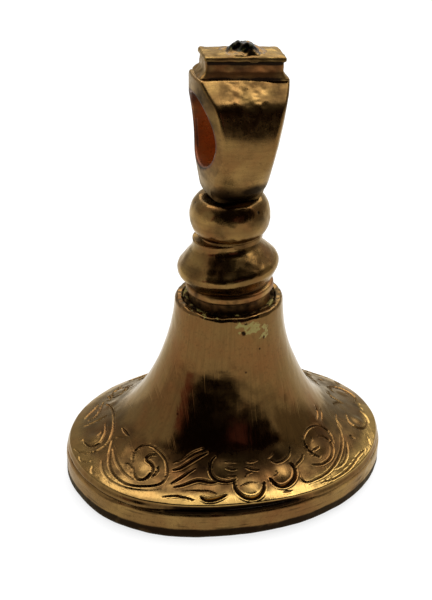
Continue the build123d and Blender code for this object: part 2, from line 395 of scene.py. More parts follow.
def noise(tree, vector, scale, detail, roughness=0.5, distortion=0.0):
    """Soft noise between 0 and 1 over a vector."""
    values = {"Scale": scale, "Detail": detail, "Roughness": roughness, "Distortion": distortion}
    return add(tree, "ShaderNodeTexNoise", {"Vector": vector, **values}).outputs["Fac"]


def mapped(tree, vector, scale, turn=(0, 0, 0), shift=(0, 0, 0)):
    """Vector that is scaled, turned and shifted."""
    values = {"Scale": scale, "Rotation": turn, "Location": shift}
    return add(tree, "ShaderNodeMapping", {"Vector": vector, **values}).outputs["Vector"]


def opaque(value):
    """Colour with full cover."""
    return (*value, 1.0)


def mix(tree, share, under, over):
    """Blend of two colours by a share. The one under may be another node's output."""
    first = under if isinstance(under, bpy.types.NodeSocket) else opaque(under)
    colours = {"Fac": share, "Color1": first, "Color2": opaque(over)}
    return add(tree, "ShaderNodeMixRGB", colours).outputs["Color"]


def bump(tree, height, strength, depth, under=None):
    """Normal of a relief of a depth in millimetres, on top of another relief where one is given."""
    inputs = {"Strength": strength, "Distance": depth * MM, "Height": height}
    if under is not None:
        inputs["Normal"] = under
    return add(tree, "ShaderNodeBump", inputs).outputs["Normal"]


def surface(tree, inputs):
    """Principled surface with these inputs, as the output of a material."""
    shader = add(tree, "ShaderNodeBsdfPrincipled", inputs)
    add(tree, "ShaderNodeOutputMaterial", {"Surface": shader.outputs["BSDF"]})


def place_on(tree):
    """Place in the piece's own coordinates."""
    return add(tree, "ShaderNodeTexCoord").outputs["Object"]


def mark_on(tree, name, output="Fac"):
    """Attribute of the mesh, by name."""
    return add(tree, "ShaderNodeAttribute", attribute_name=name).outputs[output]


def per(size):
    """Texture scale for a pattern of a size in millimetres."""
    return 1 / (size * MM)


def new_material(name):
    """Empty node material and its tree."""
    material = bpy.data.materials.new(name)
    material.use_nodes = True
    material.node_tree.nodes.clear()
    return material, material.node_tree


def worn_gilding(name, colours, streaks, polish, tone=1.0):
    """Gilt brass: a thin rosy gold skin, drawn or turned, polished by hand and worn for a century.
    It gives satin reflections with fine tool lines, brown patina in the hollows, thin coppery
    patches, bright rubbed edges and a few black specks. Where the pieces mark it, the same brown
    also paints shade, and the orange of thinly gilt metal also paints the glow inside the loop's
    hole. Streaks stretch the tool lines: (around, along) in millimetres. Polish is the range of
    roughness, and tone the share of the gold's light left by an even tarnish."""
    material, tree = new_material(name)
    place = place_on(tree)
    follow = mark_on(tree, "lathe", "Vector")
    dirt_and_shade, rubbed, bloom, bared_and_glow = [mark_on(tree, mark) for mark in ("patina_and_shade", "rubbed", "corrosion", "thin")]

    # Thin coppery patches, about 2.5 mm across
    thin = remap(tree, noise(tree, place, per(2.5), 5.0, 0.6), 0.45, 0.7, 0.0, 0.6)
    skin = mix(tree, thin, [tone * part for part in colours.gold], colours.copper)
    # Orange where the gilding is thin, and as painted glow inside the loop's hole
    skin = mix(tree, bared_and_glow, skin, colours.orange_stain_and_glow)
    bright = mix(tree, rubbed, skin, colours.pale_gold)

    # Tool lines stretched along or around the piece
    stretch = mapped(tree, follow, (1 / streaks[0], 1 / streaks[0], 1 / streaks[1]))
    lines = noise(tree, stretch, 1.0, 5.0, 0.7)
    streaked = remap(tree, lines, 0.42, 0.72, 0.0, 0.3)
    # Fine pitting, drawn 0.16 mm wide so that it shows
    fine = noise(tree, place, per(0.16), 3.0, 0.6)
    pitted = remap(tree, fine, 0.5, 0.75, 0.0, 0.4)
    bright = mix(tree, maths(tree, "MAXIMUM", streaked, pitted), bright, colours.patina_and_shade)

    # Ragged edge of the dirt and of the painted shade, 0.5 mm grain
    grain = noise(tree, place, per(0.5), 4.0, 0.7)
    ragged = maths(tree, "MULTIPLY", maths(tree, "ADD", grain, -0.5), 0.55)
    ragged_dirt_and_shade = maths(tree, "ADD", dirt_and_shade, ragged, clamp=True)
    dirt_and_shade_share = remap(tree, ragged_dirt_and_shade, 0.12, 0.85, 0.0, 0.97)

    # Black specks up to about 0.15 mm, in about one cell of five
    cells = add(tree, "ShaderNodeTexVoronoi", {"Scale": per(0.9), "Randomness": 1.0, "Vector": place})
    dot = remap(tree, cells.outputs["Distance"], 0.05, 0.1, 1.0, 0.0)
    draw = add(tree, "ShaderNodeSeparateColor", {"Color": cells.outputs["Color"]}).outputs[0]
    speck = maths(tree, "MULTIPLY", dot, maths(tree, "GREATER_THAN", draw, 0.8))
    brown = mix(tree, maths(tree, "MAXIMUM", dirt_and_shade_share, speck), bright, colours.patina_and_shade)
    # Bloom breaks up along its edges
    crumb = maths(tree, "MULTIPLY_ADD", fine, 0.9, -0.45)
    bloom = remap(tree, maths(tree, "ADD", crumb, bloom), 0.42, 0.6, 0.0, 0.9)
    final = mix(tree, bloom, brown, colours.corrosion)

    # Polish: satin with cloudy changes, dull in the dirt, in the painted shade and on the bloom
    satin = remap(tree, grain, 0.3, 0.7, *polish)
    rough = maths(tree, "MULTIPLY_ADD", maths(tree, "MAXIMUM", dirt_and_shade_share, bloom), 0.35, satin)
    bare = maths(tree, "MULTIPLY_ADD", bared_and_glow, -0.55, 1.0)
    metal = maths(tree, "MULTIPLY_ADD", bloom, -0.85, bare, clamp=True)

    # Scratches in two directions, drawn about 0.14 mm wide so that they show
    relief = bump(tree, lines, 0.5, 0.006)
    for turn, seed in ((0.5, 3.0), (-0.9, 8.0)):
        bent = mapped(tree, place, (per(0.14), per(5.0), per(2.6)), (turn,) * 3, (seed,) * 3)
        furrow = remap(tree, noise(tree, bent, 1.0, 1.0, 0.4), 0.64, 0.72, 0.0, -1.0)
        relief = bump(tree, furrow, 0.35, 0.006, relief)
    relief = bump(tree, grain, 0.3, 0.012, relief)

    gilding = {"Base Color": final, "Roughness": rough, "Metallic": metal, "Normal": relief}
    surface(tree, {"Specular Tint": opaque(colours.glance), **gilding})
    return material


def lead_solder(colours):
    """Lead solder: a drop that froze with a dark, glassy grey-green skin, browned where it runs out
    on the gold."""
    material, tree = new_material("lead_solder")
    grain = noise(tree, place_on(tree), per(0.3), 5.0, 0.65)
    ramp = add(tree, "ShaderNodeValToRGB", {"Fac": grain})
    stops = ramp.color_ramp.elements
    stops[0].position, stops[1].position = 0.38, 0.92
    stops[0].color = opaque(colours.patina_and_shade)
    stops[1].color = opaque(colours.corrosion)
    stops.new(0.56).color = opaque(colours.grey_solder)
    body = mix(tree, mark_on(tree, "rubbed"), ramp.outputs["Color"], colours.gold)
    relief = bump(tree, grain, 0.5, 0.03)
    surface(tree, {"Metallic": 1.0, "Roughness": 0.22, "Base Color": body, "Normal": relief})
    return material


def hardstone(colours):
    """Sard, a brown-red chalcedony: cut flat and polished, glassy, with soft darker layers 1.4 mm apart."""
    material, tree = new_material("polished_sard")
    tilt = mapped(tree, place_on(tree), (per(1.4), per(6.0), per(6.0)), (0.3, 0.2, 0.6))
    layers = remap(tree, noise(tree, tilt, 1.0, 5.0, distortion=0.6), 0.4, 0.62)
    body = mix(tree, layers, colours.stone, colours.stone_layer)
    surface(tree, {"Roughness": 0.08, "IOR": 1.54, "Base Color": body})
    return material


def grainy(name, base, other, size, roughness, metallic):
    """Matt or drawn filling material: two close colours in a fine grain of a size in millimetres."""
    material, tree = new_material(name)
    grain = noise(tree, place_on(tree), per(size), 6.0)
    body = mix(tree, grain, base, other)
    relief = bump(tree, grain, 0.4, 0.02)
    surface(tree, {"Roughness": roughness, "Metallic": metallic, "Base Color": body, "Normal": relief})
    return material


# Chased cuts of the bell: width in millimetres, share of the depth, and the pixels of the photograph,
# across and down, that the cut was seen to pass through
LEFT_VOLUTE = [
    (0.14, 1, [
        (112, 441), (110.5, 447), (109.5, 454), (109, 462), (111, 470), (115, 476), (121, 481),
        (128, 484.5), (136, 486), (146, 486.3), (155, 485.5), (161, 483.5), (165, 479.5), (167, 474),
        (167, 467), (165.5, 460), (162, 455), (157, 450), (152, 446.5), (146, 445), (140, 447),
        (135.5, 451), (132.5, 457), (132, 463),
    ]),
    (0.12, 0.8, [(113, 449), (114.5, 456), (117, 463), (120.5, 468.5), (126, 475), (133, 479.5)]),
    (0.16, 1.1, [
        (156, 455), (150, 455.5), (146.5, 458), (147, 461), (150, 463), (152.5, 466), (152.5, 470.5),
        (150, 475), (146, 478.5), (141, 480), (136.5, 478), (134, 474),
    ]),
    (0.14, 0.9, [(158, 467), (157, 472), (154, 475.5), (150.5, 477.5)]),
    (0.1, 0.7, [(123.5, 466), (126, 464), (129, 464.5), (130.5, 467)]),
    (0.1, 0.7, [(128, 468), (131, 467.5), (133, 470), (132, 473), (128.5, 473.5)]),
    (0.11, 0.6, [
        (101.5, 460), (102, 468), (105, 475.5), (111, 481), (119, 485.5), (128, 488.5), (138, 490),
        (150, 490.5), (162, 489.5),
    ]),
    (0.1, 0.6, [(112, 441), (117, 437.5), (123, 437), (128, 436)]),
    (0.19, 0.9, [(122.5, 428), (126, 432.5), (129, 435.5)]),
]
LEFT_END_SCROLL = [
    (0.14, 1, [
        (75, 449), (80, 452), (86, 453), (94, 452), (101, 449), (107.5, 443.5), (111.5, 436), (113.5, 428),
        (114, 419), (113, 411), (110, 406.5), (106, 404.5),
    ]),
    (0.15, 1, [(83, 440), (87, 444.5), (93, 446), (99, 443.5), (103.5, 437.5), (106, 430), (105.5, 424)]),
    (0.11, 0.8, [(97, 437), (100, 434.5), (102, 431.5)]),
    (0.23, 0.5, [(84, 427), (92, 423.5), (100, 419.5), (107, 416)]),
    (0.11, 0.9, [(84, 419.5), (89, 414.5), (95, 409), (99, 404.5)]),
    (0.11, 0.9, [(88, 421), (94, 417.5), (99, 412), (102, 406), (104, 402)]),
    (0.11, 0.8, [(108, 396.5), (113, 398), (119, 395.5), (124, 391), (128, 386.5)]),
    (0.09, 0.7, [(116, 393), (118, 389), (122, 386)]),
    (0.09, 0.7, [(79.5, 454.5), (80, 459), (86, 462), (92, 461.5)]),
    (0.09, 0.7, [(93, 466), (91.5, 471), (94, 474)]),
]
LEAVES = [
    (0.19, 1, [(173, 470.5), (180, 468.5), (187, 464.5), (194, 460), (201, 456), (208, 452.5)]),
    (0.1, 0.7, [(174, 463), (181, 460), (188, 455), (196, 450.5), (204, 448)]),
    (0.15, 1.1, [(170, 484.5), (177, 480.5), (184, 476), (190, 472), (195, 469)]),
    (0.19, 1.1, [
        (174, 487.5), (183, 485.5), (191, 482.5), (199, 480.5), (207, 482), (214, 482.5), (219, 481),
    ]),
    (0.09, 0.8, [(183, 491), (192, 490.8), (201, 490.8), (208, 491.2), (214, 493), (218.5, 496)]),
    (0.13, 1.2, [(163, 497), (172, 496.3), (181, 497), (188, 498.5), (193.5, 500.3)]),
    (0.23, 1.4, [(200.5, 497), (205, 499.8), (211, 500.2), (217, 499), (222, 497), (226, 495)]),
]
FLOWER = [
    (0.17, 1.2, [
        (216, 456), (212, 460), (210, 466), (210, 472), (213, 477.5), (218, 480.5), (225, 482),
        (231, 481.5), (236, 479.5),
    ]),
    (0.14, 0.8, [(226, 468.5), (231, 469.5), (236, 469.5)]),
    (0.12, 0.7, [(228, 476.5), (236, 476.5)]),
    (0.14, 0.9, [(246, 468), (252, 469.5), (258, 470.5)]),
    (0.1, 0.7, [(246, 477.5), (248, 473.5), (253, 472)]),
    (0.1, 0.6, [(225, 462.5), (231, 462), (236, 462.5)]),
    (0.1, 0.6, [(246, 462), (252, 462), (258, 460)]),
    (0.22, 1.4, [
        (233.5, 482.5), (235, 488), (238.5, 493), (243, 496.5), (249, 498.5), (255, 498.3), (260, 495.5),
        (263, 491), (264.5, 486), (264, 482.5),
    ]),
    (0.09, 0.5, [(240, 487), (246, 484), (252, 483), (258, 483.5)]),
    (0.22, 1.3, [
        (269.5, 478.5), (273, 482.5), (278, 486), (284, 486.5), (290, 483.5), (294, 479), (295.5, 473),
        (294, 467.5), (290.5, 463),
    ]),
    (0.09, 0.5, [(274, 477), (277, 474), (275, 471)]),
    (0.14, 0.8, [(271, 460.5), (276, 462.5), (282, 461), (287, 457.5), (289.5, 452), (289, 446)]),
    (0.09, 0.5, [(268, 458), (272, 455), (274, 451)]),
    (0.12, 0.7, [(284, 492.5), (288, 491.5), (292, 491)]),
]
RIGHT_VOLUTE = [
    (0.14, 1, [
        (299.5, 477), (303, 481.5), (308, 482.5), (315, 480), (322, 476.5), (329, 471.5), (335, 464.5),
        (339, 457), (341.5, 448), (342, 440), (340.5, 432), (338, 425), (335.5, 418),
    ]),
    (0.14, 1, [
        (333.5, 443), (331, 436), (326.5, 430), (320.5, 426), (314, 425.5), (308.5, 428.5), (305, 433.5),
        (303.5, 439), (305.5, 446), (309.5, 451.5), (315, 455.5), (321, 457.5),
    ]),
    (0.15, 1, [
        (318, 435.5), (323, 436.5), (327.5, 439.5), (331, 443.5), (332.5, 449), (332, 455), (329, 460),
        (324, 463.5), (318, 464.8), (312, 464.5),
    ]),
    (0.12, 0.8, [(313, 450.5), (316, 449), (319, 447.5)]),
    (0.09, 0.6, [(311, 437.5), (312.5, 441)]),
    (0.12, 0.9, [
        (322, 482.5), (330, 480.5), (338, 477), (346, 471.5), (352, 465.5), (357, 458.5), (362, 452.5),
        (366, 449.5),
    ]),
    (0.12, 0.9, [(334, 469), (341, 465.5), (346, 459), (347.5, 451), (346.5, 443)]),
    (0.12, 0.9, [(295.5, 466.5), (298, 463), (301.5, 459), (303, 455)]),
    (0.12, 0.8, [(317, 419), (317.5, 412), (316, 406)]),
    (0.09, 0.6, [(321.5, 420), (321.5, 413), (320.5, 408)]),
]
RIGHT_END_SCROLL = [
    (0.14, 0.9, [
        (345.5, 414), (347, 419), (350, 423.5), (356, 427.5), (362, 428.7), (366.5, 425.5), (367.5, 420.5),
        (364.5, 415.5), (359.5, 411),
    ]),
    (0.14, 0.8, [(366.5, 437.5), (368.5, 440), (369.5, 444.5)]),
    (0.09, 0.6, [(337, 420.5), (339.5, 425), (341.5, 428.5)]),
    (0.14, 1, [(350, 435.5), (352, 437), (354, 438)]),
    (0.12, 0.7, [(333, 404.5), (337, 402.5), (343, 403)]),
    (0.09, 0.6, [(336, 414), (335.5, 420)]),
    (0.09, 0.6, [(358, 405), (361.5, 408.5), (364, 412)]),
    (0.09, 0.6, [(343, 391), (348, 394.5)]),
    (0.09, 0.5, [(327, 390), (330, 395), (331, 398)]),
]
CHASING = LEFT_VOLUTE + LEFT_END_SCROLL + LEAVES + FLOWER + RIGHT_VOLUTE + RIGHT_END_SCROLL
# Raised petals and eyes of the scrolls: pixel of the middle, then reach and height in millimetres
PADS = [
    (143, 470, 0.6, 0.06), (150, 451, 0.5, 0.04), (252, 489, 0.75, 0.1), (283, 474, 0.75, 0.1),
    (222, 470, 0.7, 0.08), (279, 451, 0.6, 0.06), (318, 447, 0.6, 0.06), (93, 439, 0.6, 0.05),
    (357, 420, 0.5, 0.05), (190, 468, 0.5, 0.04), (124, 452, 0.6, 0.05),
]
# The back repeats the front, mirrored and shifted so that the scrolls keep their distance
MIRROR = math.radians(352)
BACK_CUTS = np.radians((-12, 152))
BACK_PADS = np.radians((7, 152))
# The foot bulges at the front left: middle and half span in degrees, and half its height in millimetres
BULGE_MIDDLE, BULGE_SPAN, BULGE_HALF = 222, 40, 0.125
# The rim droops at the right by this many millimetres, over a window of degrees
DROOP, DROOP_WINDOW = 0.2, (262, 298, 325, 358)
# In front, over this window of degrees, the skirt is drawn in under the rim, and painted shade darkens it
# and the top of the band below it
SKIRT_WINDOW = (218, 240, 278, 296)


def oval_share(radius, sizes):
    """Radius along the short axis: equal at the mouth, drawn in evenly to the oval rim."""
    mouth = sizes.mouth_radius / MM
    rim, side = sizes.rim_length / MM / 2, sizes.rim_width / MM / 2
    return radius - np.maximum(0, (radius - mouth) / (rim - mouth)) * (rim - side)


def swelling(angle):
    """Outward bulge of the foot at the front left, in millimetres: a raised cosine over 80 degrees."""
    off = np.clip((np.degrees(angle) - BULGE_MIDDLE) / BULGE_SPAN, -1, 1)
    return BULGE_HALF * (1 + np.cos(np.pi * off))


def on_bell(radius, angle, height, sizes):
    """Points of the bell, drawn round ovals whose half axes are the radius and the short radius that
    goes with it, pushed out where the rim bulges and lowered where it droops."""
    push = swelling(angle) * ease(radius, 6.8, 8.9)
    droop = DROOP * between(np.degrees(angle), *DROOP_WINDOW) * ease(radius, 7.4, 8.9)
    across = (radius + push) * np.cos(angle)
    deep = (oval_share(radius, sizes) + push) * np.sin(angle)
    return np.stack([across, deep, height - droop], -1)


def bell_outline(sizes):
    """Outer line of the bell: a short skirt, a rolled rim and a flare that steepens to the mouth."""
    rim = sizes.rim_length / MM / 2
    mouth = sizes.mouth_radius / MM
    flare = [
        (rim, 0.40), (8.72, 0.50), (8.40, 0.62), (8.0, 0.75), (7.30, 1.02),
        (6.00, 1.80), (5.12, 2.70), (4.08, 4.50), (3.32, 6.50), (mouth, MOUTH - SEAT),
    ]
    curve = spline(flare, (-0.9, 0.44), (-0.10, 1.0), 700) + (0, SEAT)
    return np.vstack([np.linspace((rim - 0.03, SEAT), curve[0], 12)[:-1], curve])


def seen_on_bell(pixels, outline, sizes):
    """Angles and radii of the points of the bell that the camera sees at these pixels: Newton steps on
    angle and radius, which start where the line of sight meets a level plane through the chased zone."""
    line = outline[np.argsort(outline[:, 0])]

    def seen(angle, radius):
        return in_picture(on_bell(radius, angle, np.interp(radius, line[:, 0], line[:, 1]), sizes))

    right, up, back = camera_axes()
    lens = CAMERA_AIM + CAMERA_DISTANCE * back
    across, down = (pixels - PICTURE / 2).T[..., None]
    sight = across * right - down * up - FOCUS * back
    spot = lens + (SEAT + 0.9 - lens[2]) / sight[:, 2:] * sight
    ratio = sizes.rim_length / sizes.rim_width
    angle = np.arctan2(ratio * spot[:, 1], spot[:, 0]) % TURN
    radius = np.clip(np.hypot(spot[:, 0], ratio * spot[:, 1]), 5.2, 8.8)
    step = 1e-4
    for _ in range(40):
        here = seen(angle, radius)
        slopes = np.stack([seen(angle + step, radius) - here, seen(angle, radius + step) - here], -1) / step
        move = np.linalg.solve(slopes, (pixels - here)[..., None])[..., 0]
        angle = angle + np.clip(move[:, 0], -0.1, 0.1)
        radius = np.clip(radius + np.clip(move[:, 1], -0.3, 0.3), 4.8, 8.9)
    return angle, radius


def chased_cuts(outline, sizes):
    """Width, depth share, angles and radii of every cut: those seen in front, then those mirrored
    to the back."""
    angle, radius = seen_on_bell(np.concatenate([spots for _, _, spots in CHASING]), outline, sizes)
    ends = np.cumsum([len(spots) for _, _, spots in CHASING])[:-1]
    lines = zip(CHASING, np.split(angle, ends), np.split(radius, ends))
    front = [(width, share, np.unwrap(turn), reach) for (width, share, _), turn, reach in lines]
    back = [(width, share, MIRROR - turn, reach) for width, share, turn, reach in front]
    return front + [cut for cut in back if BACK_CUTS[0] < cut[2].min() and cut[2].max() < BACK_CUTS[1]]


def cut_depths(points, outline, sizes):
    """Depth share of the chased cuts at each grid point, and the share of the soft hollows they lie in.
    A cut is a smooth line on the bell; across it the depth falls as one minus the squared distance over
    the half width, squared, and the half width tapers to the ends. A hollow is 2.6 times as wide, and
    a burr stands along both edges of the cut."""
    flat = points.reshape(-1, 3)
    depth = np.zeros(len(flat))
    hollow = np.zeros(len(flat))
    burr = np.zeros(len(flat))
    order = np.argsort(outline[:, 0])
    reach = sizes.rim_length / MM / 2
    for width, strength, angle, radius in chased_cuts(outline, sizes):
        arc = np.stack([angle * reach, radius], -1)
        path = spline(arc, steps=max(12, int(run_of(arc)[-1] / 0.05)))
        angle, radius = path[:, 0] / reach, path[:, 1]
        height = np.interp(radius, outline[order, 0], outline[order, 1])
        trace = on_bell(radius, angle, height, sizes)
        taper = 0.4 + 0.6 * np.sin(np.linspace(0, np.pi, len(trace))) ** 0.6
        margin = 1.4 * width
        near = ((flat > trace.min(0) - margin) & (flat < trace.max(0) + margin)).all(1).nonzero()[0]
        off = np.linalg.norm(flat[near][:, None] - trace, axis=2) / (width / 2 * taper)
        off = off.min(1)
        depth[near] = np.maximum(depth[near], strength * np.clip(1 - off**2, 0, 1) ** 2)
        hollow[near] = np.maximum(hollow[near], strength * np.clip(1 - (off / 2.6) ** 2, 0, 1) ** 2)
        burr[near] = np.maximum(burr[near], strength * np.clip(1 - ((off - 1.4) / 0.6) ** 2, 0, 1) ** 2)
    burr *= np.clip(1 - depth, 0, 1)
    return [share.reshape(points.shape[:2]) for share in (depth, hollow, burr)]


def pad_heights(points, outline, sizes):
    """Height of the raised petals and eyes: soft domes on the bell."""
    pads = np.array(PADS)
    angle, radius = seen_on_bell(pads[:, :2], outline, sizes)
    pads = np.column_stack([angle, radius, pads[:, 2:]])
    back = pads * (-1, 1, 1, 1) + (MIRROR, 0, 0, 0)
    pads = np.vstack([pads, back[(back[:, 0] > BACK_PADS[0]) & (back[:, 0] < BACK_PADS[1])]])
    line = outline[np.argsort(outline[:, 0])]
    middles = on_bell(pads[:, 1], pads[:, 0], np.interp(pads[:, 1], line[:, 0], line[:, 1]), sizes)
    return dabs(points, np.column_stack([middles, pads[:, 2:]]))


class FOBSEAL_OT_bell(bpy.types.Operator):
    """Build the flared bell with its chased scrolls"""

    bl_idname = "fobseal.bell"
    bl_label = "Bell"

    def execute(self, context):
        sizes, colours = context.scene.seal_sizes, context.scene.seal_colours
        outline = bell_outline(sizes)
        run = run_of(outline)
        # Rows lie closest on the rim and in the chased zone
        heights = [0, 0.3, 0.4, 2.1, 2.7, 7.2, 7.6]
        crowding = np.interp(outline[:, 1] - SEAT, heights, [10, 14, 19, 19, 5, 5, 11])
        dense = np.r_[0, np.cumsum((crowding[1:] + crowding[:-1]) / 2 * np.diff(run))]
        at = np.interp(np.linspace(0, dense[-1], 134), dense, run)
        outer = np.stack([np.interp(at, run, axis) for axis in outline.T], -1)
        wall = sizes.bell_wall / MM
        mouth = sizes.mouth_radius / MM
        throat = mouth - wall
        lip = [
            (mouth, MOUTH - 0.14, 0), (mouth, MOUTH, 0.16), (throat, MOUTH, 0.12), (throat, MOUTH - 0.5, 0),
        ]
        lip = evenly(rounded(lip), 22)
        slope = np.gradient(outer, axis=0)
        slope /= np.linalg.norm(slope, axis=1, keepdims=True)
        inner = outer + wall * np.stack([-slope[:, 1], slope[:, 0]], -1)
        inner = inner[(inner[:, 1] < MOUTH - 0.8) & (inner[:, 1] > SEAT + 0.02)][::-10]
        foot = [(inner[-1, 0] + 0.1, SEAT)]
        line = np.vstack([outer[outer[:, 1] < MOUTH - 0.16], lip, inner, foot])
        # Columns lie closer on the side that faces the viewer
        angle = around(570)
        angle = (angle + 0.28 * np.sin(angle - FACING - np.pi / 2)) % TURN
        points = on_bell(line[:, :1], angle, line[:, 1:], sizes)

        count = (outer[:, 1] < MOUTH - 0.16).sum()
        face = points[:count]
        depth, hollow, burr = cut_depths(face, outline, sizes)
        pads = pad_heights(face, outline, sizes)
        lift = pads - sizes.cut_depth / MM * (0.7 * depth + 0.3 * hollow - 0.4 * burr)
        lift += 0.012 * waves(face, 3.0, 11) + 0.004 * waves(face, 0.8, 12)
        turn = np.degrees(np.arctan2(points[..., 1], points[..., 0])) % 360
        # Away from the front the skirt runs out to the band
        facing = between(turn, *SKIRT_WINDOW)
        skirt = ease(-line[:, 1:], -SEAT - 0.38, -SEAT - 0.05)
        lift += ((0.14 - 0.24 * facing) * skirt)[:count]
        way = normals(face)
        marks = {name: np.zeros(points.shape[:2]) for name in ("patina_and_shade", "rubbed", "corrosion")}
        marks["lathe"] = lathe(points)
        bare = points.copy()
        points[:count] += lift[..., None] * way

        # Old solder has bloomed in a patch under the lip, a little right of the viewer, and along the lip
        height = bare[..., 2]
        blotch = waves(bare, 0.7, 5) + 0.7 * waves(bare, 0.3, 6)
        run_down = MOUTH - 0.3 - 0.02 * (turn - 256)
        window = between(turn, 250, 264, 292, 304) * ease(-np.abs(height - run_down), -0.75, -0.3)
        line_left = ease(height, MOUTH - 0.35, MOUTH - 0.1) * between(turn, 185, 205, 240, 262)
        patch = 0.62 * window * ease(blotch + 2.2 * window, 0.8, 2.0)
        bloom = np.clip(patch + 0.8 * line_left * ease(blotch, -0.3, 0.9), 0, 1)
        outside = np.arange(len(points))[:, None] < count + 9
        marks["corrosion"] = np.where(outside, bloom, 0)
        pits = np.where(outside, ease(waves(bare, 0.45, 7), 0.6, 1.3) * window, 0)
        # Dirt stays on the ground between the scrolls, and is worn off the burrs and the petals
        reach = outer[:count, :1]
        flower = between(turn[:count], 228, 240, 286, 300) * ease(-reach, -7.3, -6.7)
        ground = between(reach, 5.2, 6.2, 8.1, 8.7) * (0.46 + 0.24 * flower + 0.12 * waves(face, 1.0, 18))
        ground = ground * (1 - 0.9 * np.clip(burr, 0, 1)) * (1 - 4 * pads)
        marks["patina_and_shade"][:count] = np.clip(np.maximum(0.9 * depth, ground), 0, 1)
        marks["patina_and_shade"] = np.maximum(marks["patina_and_shade"], pits)
        # Painted shade on the skirt under the rim: strong in front, faint elsewhere
        low_skirt = ease(-line[:, 1:], -SEAT - 0.34, -SEAT - 0.24)
        marks["patina_and_shade"] = np.maximum(marks["patina_and_shade"], (0.1 + 0.85 * facing) * low_skirt)
        on_lip = slice(count, count + 10)
        marks["patina_and_shade"][on_lip] = np.clip(0.32 + 0.16 * waves(bare[on_lip], 1.1, 15), 0, 1)
        marks["patina_and_shade"][count + 10:] = 0.6
        marks["corrosion"] *= 1 - marks["patina_and_shade"]
        marks["rubbed"][:count] = np.clip(3 * pads + 0.6 * burr - hollow, 0, 1)
        near_rim = ease(reach, 7.9, 8.4) * ease(outer[:count, 1:], SEAT + 0.32, SEAT + 0.38)
        worn = near_rim * (0.25 + 0.65 * ease(turn[:count], 215, 246)) * (1 - np.clip(depth, 0, 1))
        marks["rubbed"][:count] = np.maximum(marks["rubbed"][:count], worn)
        # The mouth is ragged, and dips to the left as the knops do
        near_mouth = ease(bare[..., 2], MOUTH - 0.5, MOUTH)
        points[..., 2] += near_mouth * (0.03 * waves(bare, 1.3, 13) + 0.012 * waves(bare, 0.4, 14))
        sway = ease(points[..., 2], MOUTH - 3.5, MOUTH) * math.tan(sizes.knop_tilt)
        points[..., 2] += sway * (points @ TO_THE_RIGHT) * 0.45
        gilding = worn_gilding("chased_gilding", colours, (0.22, 3.0), (0.11, 0.21), 0.82)
        add_piece("bell", points, gilding, "bell_shell", marks, closed_along=True)
        return {"FINISHED"}


class FOBSEAL_OT_band(bpy.types.Operator):
    """Build the oval band round the stone"""

    bl_idname = "fobseal.band"
    bl_label = "Band"

    def execute(self, context):
        sizes, colours = context.scene.seal_sizes, context.scene.seal_colours
        # Section of the band: distance in from the wall, height, corner radius
        section = rounded(
            [
                (0.0, BAND_FOOT, 0.28), (0.0, SEAT, 0.33), (1.35, SEAT, 0.05), (1.35, SEAT - 0.45, 0.05),
                (0.75, SEAT - 0.45, 0.05), (0.75, BAND_FOOT + 0.58, 0.05), (1.33, BAND_FOOT, 0.06),
            ],
            closed=True,
        )
        section = evenly(section, 141)[:-1]
        angle = around(420)
        inset, height = section[:, :1], section[:, 1:]
        push = swelling(angle)
        across = (sizes.foot_length / MM / 2 + push - inset) * np.cos(angle)
        deep = (sizes.foot_width / MM / 2 + push - inset) * np.sin(angle)
        drop = (0.03 + 0.28 * push) * ease(-height, -SEAT, -BAND_FOOT)
        points = np.stack([across, deep, height - drop + 0 * angle], -1)
        way = normals(points)
        wall = ease(-inset, -0.5, -0.1)
        lift = wall * (0.018 * waves(points, 3.5, 21) - 0.018 + 0.006 * waves(points, 0.9, 22))
        marks = {name: np.zeros(points.shape[:2]) for name in ("rubbed", "corrosion")}
        marks["lathe"] = lathe(points)
        facing = between(np.degrees(angle), *SKIRT_WINDOW)
        # Painted shade on the band's top under the bell's rim, strong in front, and a painted contact shadow
        # along the band's lower edge
        patina_and_shade = 0.9 * ease(inset, 0.05, 0.14) * ease(height, SEAT - 0.3, SEAT - 0.1) * (0.1 + 0.9 * facing)
        patina_and_shade = np.maximum(patina_and_shade, 0.95 * ease(-height, -BAND_FOOT - 0.7, -BAND_FOOT - 0.54) + 0 * angle)
        marks["patina_and_shade"] = np.clip(patina_and_shade + 0.12 * waves(points, 1.2, 23), 0, 1)
        scuff = ease(waves(points * (0.3, 0.3, 3.0), 0.6, 25), 0.5, 1.3)
        marks["patina_and_shade"] = np.clip(marks["patina_and_shade"] + 0.4 * wall * scuff, 0, 1)
        marks["rubbed"] = np.clip(0.35 * waves(points, 2.4, 24), 0, 1)
        points += lift[..., None] * way
        gilding = worn_gilding("drawn_gilding", colours, (2.5, 0.16), (0.2, 0.36))
        add_piece("band", points, gilding, "bezel_band", marks, closed_along=True)
        return {"FINISHED"}


def turned_marks(points, patina_and_shade, rubbed, seed):
    """Marks of a turned piece: grime and painted shade, and rubbing, by profile, made cloudy by soft
    unevenness.
    """
    cloud = waves(points, 1.1, seed)
    return {
        "lathe": lathe(points),
        "patina_and_shade": np.clip(patina_and_shade[:, None] + 0.18 * cloud, 0, 1),
        "rubbed": np.clip(rubbed[:, None] + 0.3 * waves(points, 1.8, seed + 1), 0, 1),
        "corrosion": np.zeros(points.shape[:2]),
    }


